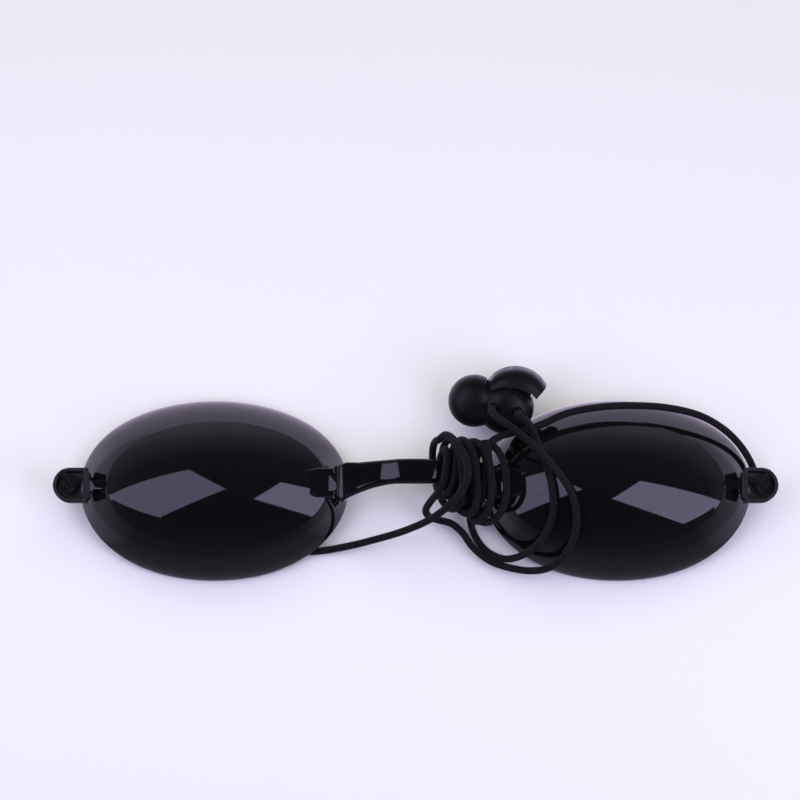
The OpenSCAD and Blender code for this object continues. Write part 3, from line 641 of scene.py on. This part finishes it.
def cup_boss():
    """The block at the nose end, hollowed for the collar's knuckle, and the tongue that turns on the pin."""
    low, half = BRIDGE_Z - BOSS_DROP, (COLLAR_W - BOSS_NARROW) / 2
    root, foot = nose_reach(CREASE_H) - BOSS_REACH, nose_reach(low) - CUP_WALL / 2
    rim = PIN_AT - math.sqrt((KNUCKLE_R + KNUCKLE_FIT) ** 2 - BOSS_RISE ** 2)
    flat, sunk, edge, edge_l, taper = face_z(root) + 0.1, 0.4, 0.12, 0.3, 0.15
    rows = []
    for x in np.linspace(root - 1.2, PIN_AT, 60):
        share = min(1, max(0, (x - root + 1) / BOSS_SLOPE))
        ending = min(1, max(0, (x - rim + edge_l) / edge_l))
        drop = edge * (1 - math.sqrt(1 - ending * ending))
        base = low + (face_z(root) + sunk - CUP_WALL - low) * min(1, max(0, (foot - x) / (foot - root)))
        wide = half * (1 - taper * (1 - share)) - drop
        rows.append(box_ring(x, -wide, wide, base, max(face_z(x) - 0.1, flat) - drop, BOSS_CORNER, steps=8))
    block = outward(lofted("boss", rows))
    cut = extruded("cut", circle(PIN_AT, BRIDGE_Z, KNUCKLE_R + KNUCKLE_FIT), -COLLAR_W, COLLAR_W, along_y)
    combine(block, [cut], "DIFFERENCE")
    slab = extruded("slab", [(PIN_AT - TONGUE_L, BRIDGE_Z - TONGUE_T / 2)]
                    + circle(PIN_AT, BRIDGE_Z, TONGUE_T / 2, -90, 90, 24)
                    + [(PIN_AT - TONGUE_L, BRIDGE_Z + TONGUE_T / 2)], -TONGUE_W / 2, TONGUE_W / 2, along_y)
    outward(slab)
    bore = extruded("bore", circle(PIN_AT, BRIDGE_Z, TONGUE_BORE / 2), -TONGUE_W, TONGUE_W, along_y)
    combine(slab, [bore], "DIFFERENCE")
    bevelled(slab, 0.12, 2)
    combine(block, [slab], "UNION")
    return moved(block, Matrix.Translation((0, BRIDGE_Y * MM, 0)))


def cup_peg():
    """The flat peg that holds the tab, with the rib that runs up to the crease."""
    low, top, tip = TAB_Z + PEG_LIFT, TAB_Z + PEG_LIFT + PEG_T, TAB_END + PEG_REACH
    crest = temple_reach(CREASE_H)
    peg = extruded("peg", [(-tip, low), (PEG_NECK - TAB_END, low), (PEG_NECK - TAB_END, top), (-tip, top)],
                   -PEG_W / 2, PEG_W / 2, along_y)
    bevelled(outward(peg), 0.2, 2)
    rib = extruded("rib", [(-TAB_END, low), (CUP_WALL / 2 - temple_reach(low), low),
                           (CUP_WALL / 2 - crest, CREASE_H), (-crest, CREASE_H + 0.1), (-crest, top),
                           (-TAB_END, top)], -RIB_W / 2, RIB_W / 2, along_y)
    bevelled(outward(rib), 0.25, 3)
    return combine(peg, [rib], "UNION")


def pair(obj, name, mat, slot, *nodes):
    """Places a settled piece on the left cup, and its mirror image on the right one."""
    moved(obj, LEFT)
    obj.name = "left_" + name
    twin = mirrored(obj, "right_" + name)
    dressed(obj, mat, slot, "left_shield", *("left_" + n for n in nodes))
    dressed(twin, mat, slot, "right_shield", *("right_" + n for n in nodes))
    return obj, twin


shell = outward(lofted("shell", cup_rings()))
shell.data.set_sharp_from_angle(angle=math.radians(60))
pair(shell, "shell", cup_gloss, "cup_gloss", "cup")
pair(cup_boss(), "boss", cup_gloss, "cup_gloss")
pair(cup_peg(), "peg", cup_gloss, "cup_gloss")


# Nose bridge

SWEEP_TOP, SWEEP_DROP, SWEEP_FROM, SWEEP_L, SWEEP_POWER = 0.35, 3.35, 4.0, 10.6, 1.8
CREST_FROM, CREST_L = 7.6, 4.6
STRAP_UNDER, COLLAR_ROUND, COLLAR_UNDER = 1.4, 0.55, 0.9
SLOT_L = 1.4


def sweep_edge(x):
    """The strap's lower edge as photographed, which sweeps down to the collars' corners."""
    return BRIDGE_Y - SWEEP_TOP - SWEEP_DROP * (max(0, abs(x) - SWEEP_FROM) / SWEEP_L) ** SWEEP_POWER


def crest(x):
    """Height of the strap's middle: level with the collars, then a step up to the middle of the bow."""
    share = min(1, max(0, (CREST_FROM - abs(x)) / CREST_L))
    return BRIDGE_Z + STRAP_BOW * share * share * (3 - 2 * share)


def strap_ring(x):
    """The strap's section at x."""
    tall = strap_half_t(x)
    return box_ring(x, sweep_edge(x), upper_edge(x), crest(x) - tall, crest(x) + tall,
                    STRAP_CORNER, STRAP_UNDER)


def collar():
    """A block with a half-round end towards its cup, open below and at that end for the cup's tongue."""
    rows = []
    round_end = [-KNUCKLE_R * math.cos(t) for t in np.linspace(0.06, math.pi / 2, 24)]
    for x in round_end + [0.7, 1.4, 2.1, COLLAR_L]:
        tall = math.sqrt(KNUCKLE_R ** 2 - min(0, x) ** 2)
        upper, lower = (COLLAR_W / 2 - deep * max(0, 1 - (x + KNUCKLE_R) / far)
                        for far, deep in (COLLAR_CUT, COLLAR_TRIM))
        lower = min(lower, BRIDGE_Y - sweep_edge(PIN_X - x)) if x > 0 else lower
        rows.append(box_ring(x, -lower, upper, -tall, tall, COLLAR_ROUND, COLLAR_UNDER))
    block = outward(lofted("collar", rows))
    roof, half = KNUCKLE_R - (COLLAR_T - TONGUE_T - KNUCKLE_FIT) / 2, TONGUE_W / 2 + KNUCKLE_FIT
    slot = extruded("slot", [(-COLLAR_T, -COLLAR_T), (SLOT_L, -COLLAR_T), (SLOT_L, roof), (-COLLAR_T, roof)],
                    -half, half, along_y)
    bore = extruded("bore", circle(0, 0, PIN_BORE), -COLLAR_W, COLLAR_W, along_y)
    return combine(block, [slot, bore], "DIFFERENCE")


strap_reach = PIN_X - COLLAR_L + 0.6
strap_rings = [strap_ring(x) for x in np.linspace(-strap_reach, strap_reach, 97)]
bridge = outward(lofted("nose_bridge_piece", strap_rings))
left_collar = moved(collar(), Matrix.Translation((-PIN_X * MM, BRIDGE_Y * MM, BRIDGE_Z * MM)))
right_collar = mirrored(left_collar, "right_collar")
combine(bridge, [left_collar, right_collar], "UNION")
dressed(bridge, bridge_gloss, "cup_gloss", "bridge", "nose_bridge")


# Strap tabs, as rings around the cord's hole

TAB_SIDES = 144
TAB_ANGLES = [2 * math.pi * k / TAB_SIDES for k in range(TAB_SIDES)]
# Inset from the tab's edge and height over its underside of each ring, from below up to the recess
TAB_PROFILE = [(0.35, 0), (0.1, 0.1), (0, 0.35), (0, TAB_T - 0.5), (0.06, TAB_T - 0.25), (0.2, TAB_T - 0.07),
               (0.35, TAB_T), (TAB_RIM - 0.3, TAB_T), (TAB_RIM - 0.12, TAB_T - 0.06),
               (TAB_RIM, TAB_T - 0.25), (TAB_RIM, TAB_T - TAB_RECESS + 0.3),
               (TAB_RIM + 0.1, TAB_T - TAB_RECESS + 0.08), (TAB_RIM + 0.3, TAB_T - TAB_RECESS)]
HOLE_LIP = 0.2


def tab_radius(angle, inset):
    """Distance from the hole to the tab's edge drawn in by an inset, in one direction."""
    c, s = math.cos(angle), math.sin(angle)
    off = TAB_ROUND - HOLE_X
    r = TAB_W / 2 - inset
    edges = []
    if abs(s) > 1e-9 and off + r / abs(s) * c > 0:
        edges.append(r / abs(s))
    if c > 1e-9:
        edges.append((TAB_ROUND - TAB_END - inset - off) / c)
    if edges and off + min(edges) * c >= 0:
        return min(edges)
    return math.sqrt((off * c) ** 2 - off * off + r * r) - off * c


def tab_ring(inset, z):
    return [(-HOLE_X + tab_radius(a, inset) * math.cos(a), tab_radius(a, inset) * math.sin(a), z)
            for a in TAB_ANGLES]


def hole_ring(r, z):
    return [(-HOLE_X + r * math.cos(a), r * math.sin(a), z) for a in TAB_ANGLES]


def strap_tab():
    """A D-shaped tab with a rim and a recess, lofted round its hole, and small ears at its flat end."""
    rows = [hole_ring(HOLE_D / 2, TAB_FLOOR - HOLE_LIP), hole_ring(HOLE_D / 2, TAB_Z + HOLE_LIP),
            hole_ring(HOLE_D / 2 + HOLE_LIP, TAB_Z)]
    rows += [tab_ring(inset, TAB_Z + up) for inset, up in TAB_PROFILE]
    rows.append(hole_ring(HOLE_D / 2 + HOLE_LIP, TAB_FLOOR))
    tab = outward(lofted("tab", rows, ring=True))
    side = [(-TAB_END - 0.4, TAB_W / 2 - 0.15), (-TAB_END, TAB_W / 2 - TAB_EAR),
            (-TAB_END + TAB_EAR, TAB_W / 2 - 2 * TAB_EAR)]
    outline = [(x, -y) for x, y in side] + side[::-1]
    ears = extruded("ears", outline, TAB_Z + 0.05, TAB_Z + TAB_T - 0.25, upright)
    bevelled(outward(ears), 0.15, 2)
    combine(tab, [ears], "UNION")
    tab.data.set_sharp_from_angle(angle=math.radians(50))
    return tab


pair(strap_tab(), "tab", tab_matte, "tab_matte", "strap_tab")


# Knots with a frayed end

KNOT_R, KNOT_SIZE, KNOT_RISE, KNOT_RELIEF, KNOT_SIDES = 0.58, 0.47, 0.42, 0.05, 20
FRAY_COUNT, FRAY_STEPS, FRAY_SPREAD = 90, 5, 0.55


def knot():
    """A trefoil pulled tight in the tab's recess."""
    t = np.linspace(0, 2 * math.pi, 110)
    path = np.stack([-HOLE_X + KNOT_SIZE * (np.sin(t) + 2 * np.sin(2 * t)),
                     KNOT_SIZE * (np.cos(t) - 2 * np.cos(2 * t)),
                     TAB_FLOOR + 1.05 - KNOT_RISE * np.sin(3 * t)], 1)
    return tube("knot", path, KNOT_R, KNOT_SIDES, KNOT_RELIEF)


def fray(end, way, rng):
    """Loose filaments fanning out from a cut end."""
    verts, faces = [], []
    way = np.asarray(way) / np.linalg.norm(way)
    across = np.cross(way, (0, 0, 1))
    across /= np.linalg.norm(across)
    lift = np.cross(across, way)
    for _ in range(FRAY_COUNT):
        a, rad = rng.uniform(0, 2 * math.pi), FRAY_SPREAD * math.sqrt(rng.random())
        side = rad * (math.cos(a) * across + math.sin(a) * lift)
        start = end - 0.3 * way + side
        out = way + 0.75 * side + np.array([rng.uniform(-0.35, 0.35) for _ in range(3)])
        out /= np.linalg.norm(out)
        bend = np.array([rng.uniform(-0.4, 0.4) for _ in range(3)])
        length = rng.uniform(0.6, 1.3)
        base = len(verts)
        for i in range(FRAY_STEPS):
            s = i / (FRAY_STEPS - 1)
            p = start + out * length * s + bend * s * s * 0.6
            w = 0.05 * (1 - 0.6 * s)
            verts += [tuple(p + w * (math.cos(b) * across + math.sin(b) * lift))
                      for b in (0, math.pi / 2, math.pi, 3 * math.pi / 2)]
        faces += [tuple(base + k for k in f) for f in grid_faces(FRAY_STEPS, 4)]
        faces.append(tuple(base + k for k in (3, 2, 1, 0)))
        faces.append(tuple(base + (FRAY_STEPS - 1) * 4 + k for k in range(4)))
    return outward(piece("fray", verts, faces))


cut_end = [(-HOLE_X + 0.3, 0.2, TAB_FLOOR + 1.2), (-HOLE_X - 0.3, 1.0, TAB_FLOOR + 1.5),
           (-HOLE_X - 0.9, 1.7, TAB_FLOOR + 1.55), (-HOLE_X - 1.4, 2.2, TAB_FLOOR + 1.6)]
stub_path, _ = smooth_path(cut_end, 0.12)
knots = pair(knot(), "knot_piece", cord_fabric, "cord", "knot")
widening = np.linspace(1, 1.25, len(stub_path))
stub = tube("stub", stub_path, KNOT_R, KNOT_SIDES, KNOT_RELIEF, widening)
stubs = pair(stub, "stub", cord_fabric, "cord")
loose_end = fray(stub_path[-1], stub_path[-1] - stub_path[-3], random.Random(11))
frays = pair(loose_end, "fray", cord_fabric, "cord")


# Cord lock

SLIDER_LOW = -SLIDER_R + PRESS
LOBES = [(LOBE_X, LOCK_R, LOCK_T), (LOBE_X - LOBE_STEP, LOBE_R, LOCK_T - LOBE_THIN)]
BODY_POWER, BUTTON_POWER = 2.6, 4.0
MELT_STEP, MELT_TIMES = 0.16, 24
SLOT_FIT, BORE_R, BORE_L = 0.15, 1.25, 3.4
POCKET_TOP = 12
# Height from the lock's face and widening of each ring of a cord hole's mouth
MOUTH = [(0.05, 0.5), (-0.15, 0.25), (-0.5, 0)]


def lobe(cx, r, t, name, power=BODY_POWER):
    """A pebble-shaped disc round an upright axis."""
    rows = []
    for a in np.radians(np.linspace(3, 177, 60)):
        z = -math.copysign(abs(math.cos(a)) ** (2 / power), math.cos(a)) * t / 2
        wide = r * math.sin(a) ** (2 / power)
        rows.append([(x, y, z) for x, y in circle(cx, 0, wide, count=120)])
    return outward(lofted(name, rows))


def slider_outline(fit, top, cy):
    r = SLIDER_R + fit
    return [(LOBE_X + x, y) for x, y in [(r, cy + top), (-r, cy + top)] + circle(0, cy, r, 180, 360, 40)]


def hole_tool(x, r):
    """A cord hole with rounded mouths at both faces."""
    upper = [(LOCK_T / 2 + up, r + more) for up, more in MOUTH[::-1]] + [(LOCK_T, r + MOUTH[0][1])]
    rows = [(-z, wide) for z, wide in upper[::-1]] + upper
    return lofted("hole", [[(u, v, z) for u, v in circle(x, 0, wide, count=48)] for z, wide in rows])


def lock_body():
    """Two lobes melted into each other, with the slider's pocket and the cord's two holes."""
    body, small = (lobe(*sizes, name) for sizes, name in zip(LOBES, ("lock_body_piece", "small")))
    half = SLIDER_T / 2 + SLIDER_FIT
    outline = slider_outline(SLIDER_FIT, POCKET_TOP, SLIDER_R + SLIDER_LOW - PRESS)
    pocket = extruded("pocket", outline, -half, half, upright)
    combine(body, [small], "UNION")
    melt = body.modifiers.new("melt", "REMESH")
    melt.mode = "VOXEL"
    melt.voxel_size = MELT_STEP * MM
    soften = body.modifiers.new("soften", "SMOOTH")
    soften.factor = 0.5
    soften.iterations = MELT_TIMES
    settled(body)
    return combine(body, [pocket] + [hole_tool(x, LOCK_HOLE_D / 2) for x in HOLES], "DIFFERENCE")


def lock_button():
    """An arched cap over the lobes on a slider, with two slots for the cord and a bore for the spring."""
    half = BUTTON_T / 2
    arch = lobe(BUTTON_AT[0], BUTTON_R, BUTTON_T, "arch", BUTTON_POWER)
    moved(arch, Matrix.Translation((0, BUTTON_AT[1] * MM, 0)))
    combine(arch, [extruded("edge", BUTTON_EDGE, -half - 1, half + 1, upright)], "INTERSECT")
    pressed = Matrix.Translation((0, PRESS * MM, 0))
    combine(arch, [moved(lobe(x, r + BUTTON_GAP, t + 2 * BUTTON_GAP, "lobe"), pressed) for x, r, t in LOBES],
            "DIFFERENCE")
    outline = slider_outline(0, SLIDER_TOP, SLIDER_R + SLIDER_LOW)
    plate = outward(extruded("plate", outline, -SLIDER_T / 2, SLIDER_T / 2, upright))
    disc = circle(*BUTTON_AT, BUTTON_R - BUTTON_GAP, count=120)
    combine(plate, [extruded("round", disc, -half, half, upright)], "INTERSECT")
    slot_r = CORD_D / 2 + SLOT_FIT
    slots = [extruded("slot", circle(x, PRESS, slot_r, 0, 180, 24) + circle(x, 0, slot_r, 180, 360, 24),
                      -BUTTON_T, BUTTON_T, upright) for x in HOLES]
    slots.append(extruded("bore", circle(LOBE_X, 0, BORE_R), -SLIDER_LOW - BORE_L, BUTTON_R, along_y))
    combine(plate, slots, "DIFFERENCE")
    combine(arch, [plate], "UNION")
    arch.name = "lock_button_piece"
    return arch


body = moved(lock_body(), LOCK_MM)
button = moved(lock_button(), LOCK_MM)
dressed(body, lock_satin, "lock_satin", "bridge", "lock_body")
dressed(button, lock_satin, "lock_satin", "button", "lock_button")

# The spring stands on the pocket's floor, under the button
SPRING_LOW, SPRING_L, COIL_R, WIRE_R = SLIDER_LOW - PRESS - SLIDER_FIT, 4.4, 0.95, 0.15
COIL_TURNS, COIL_STEPS, COIL_FREE = 5, 200, 0.1


def coil():
    """The wire's middle line, from the pocket's floor up, in the goggles' own place."""
    low, rise = SPRING_LOW + COIL_FREE + WIRE_R, SPRING_L - 2 * WIRE_R
    turns = np.linspace(0, 2 * math.pi * COIL_TURNS, COIL_STEPS)
    return [in_lock(LOBE_X + COIL_R * math.cos(a), low + rise * a / turns[-1], COIL_R * math.sin(a))
            for a in turns]


spring = dressed(tube("lock_spring_piece", coil(), WIRE_R, 16), pin_steel, "steel", "bridge", "lock_spring")
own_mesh(spring)

for node in ("left_hinge_pin", "right_hinge_pin"):
    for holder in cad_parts[node].material_slots:
        holder.material = pin_steel


# Floor, light and surroundings

def pale_floor():
    """A pale lavender sheet with a faint change of tone."""
    mat, add, to_base = shader("pale_floor")
    where = add("ShaderNodeTexCoord").outputs["Object"]
    tone = spread(add, noise(add, where, 3, 2), 0.3, 0.7, 0, 1)
    to_base(Base_Color=mixed(add, tone, (0.87, 0.86, 0.875, 1), (0.885, 0.875, 0.89, 1)), Roughness=0.9)
    return mat


FLOOR_REACH, FLOOR_DROP = 3000, 0.05
corners = [(-1, -1), (1, -1), (1, 1), (-1, 1)]
floor = piece("floor", [(x * FLOOR_REACH, y * FLOOR_REACH, -FLOOR_DROP) for x, y in corners], [(0, 1, 2, 3)])
floor.data.materials.append(pale_floor())
floor.visible_glossy = False


def softbox(name, centre, edge, width, height, radiance, colour):
    """A rectangular lamp that faces the object, with one edge along a direction."""
    lamp = bpy.data.lights.new(name, "AREA")
    lamp.shape = "RECTANGLE"
    lamp.size = width
    lamp.size_y = height
    lamp.energy = radiance * width * height * math.pi
    lamp.color = colour
    obj = bpy.data.objects.new(name, lamp)
    z = Vector(centre).normalized()
    x = Vector(edge)
    x = (x - x.dot(z) * z).normalized()
    obj.matrix_world = Matrix.Translation(centre) @ Matrix((x, z.cross(x), z)).transposed().to_4x4()
    obj.visible_camera = False
    bpy.context.scene.collection.objects.link(obj)
    return obj


LAVENDER = (0.68, 0.665, 1.0)
softbox("softbox_left", (-0.158, -0.026, 0.229), (0.592, 0.605, 0.532), 0.252, 0.179, 2.35, LAVENDER)
softbox("softbox_right", (0.176, -0.080, 0.236), (0.594, 0.801, 0.072), 0.163, 0.255, 3.5, LAVENDER)
overhead = softbox("overhead", (0, 0.45, 0.85), (1, 0, 0), 1.6, 1.2, 1.6, (1, 0.985, 0.9))
overhead.visible_glossy = False


# Level of the mirrored surroundings by height, from straight below at 0 to straight above at 1
ROOM_LEVELS = [(0.0, 0.8), (0.47, 0.75), (0.51, 0.46), (0.55, 0.42),
               (0.62, 0.34), (0.71, 0.18), (0.82, 0.045), (1.0, 0.0)]
ROOM_TINT = (0.9, 0.79, 1.1)
DIM = (0.06, 0.058, 0.065, 1)


def mirrored_levels(add, height):
    """The tinted level of the mirrored surroundings at a height."""
    ramp = add("ShaderNodeValToRGB", None, _0=height)
    elements = ramp.color_ramp.elements
    elements[0].position = ROOM_LEVELS[0][0]
    elements[1].position = ROOM_LEVELS[-1][0]
    for position, _ in ROOM_LEVELS[1:-1]:
        elements.new(position)
    for element, (_, level) in zip(elements, ROOM_LEVELS):
        element.color = (*(level * tint for tint in ROOM_TINT), 1)
    return ramp.outputs["Color"]


def surroundings():
    """Dim light all round, and a paler room that only gloss sees: bright below and at its forehead side and
    its far left and right, dark above. The camera sees plain white behind the floor."""
    world = bpy.data.worlds.new("surroundings")
    bpy.context.scene.world = world
    world.use_nodes = True
    tree = world.node_tree
    add = adder(tree)
    way = add("ShaderNodeSeparateXYZ", None, _0=add("ShaderNodeTexCoord").outputs["Generated"]).outputs
    levels = mirrored_levels(add, spread(add, way["Z"], -1, 1, 0, 1))
    forehead = spread(add, way["Y"], -0.4, 0.35, 0.3, 1.45)
    flank = spread(add, maths(add, "ABSOLUTE", way["X"]), 0.6, 1, 0, 1.3)
    room = add("ShaderNodeBackground", None, Color=levels, Strength=maths(add, "ADD", forehead, flank))
    white = add("ShaderNodeBackground", None, Color=(1, 1, 1, 1))
    dim = filled(tree, tree.nodes["Background"], {"Color": DIM})
    ray = add("ShaderNodeLightPath").outputs
    seen = add("ShaderNodeMath", {"operation": "ADD", "use_clamp": True},
               _0=ray["Is Camera Ray"], _1=ray["Is Transmission Ray"])
    choice = add("ShaderNodeMixShader", None, _0=ray["Is Glossy Ray"], _1=dim.outputs[0], _2=room.outputs[0])
    choice = add("ShaderNodeMixShader", None, _0=seen.outputs[0], _1=choice.outputs[0], _2=white.outputs[0])
    filled(tree, tree.nodes["World Output"], {"Surface": choice.outputs[0]})


surroundings()

bpy.context.scene.view_settings.view_transform = "Standard"
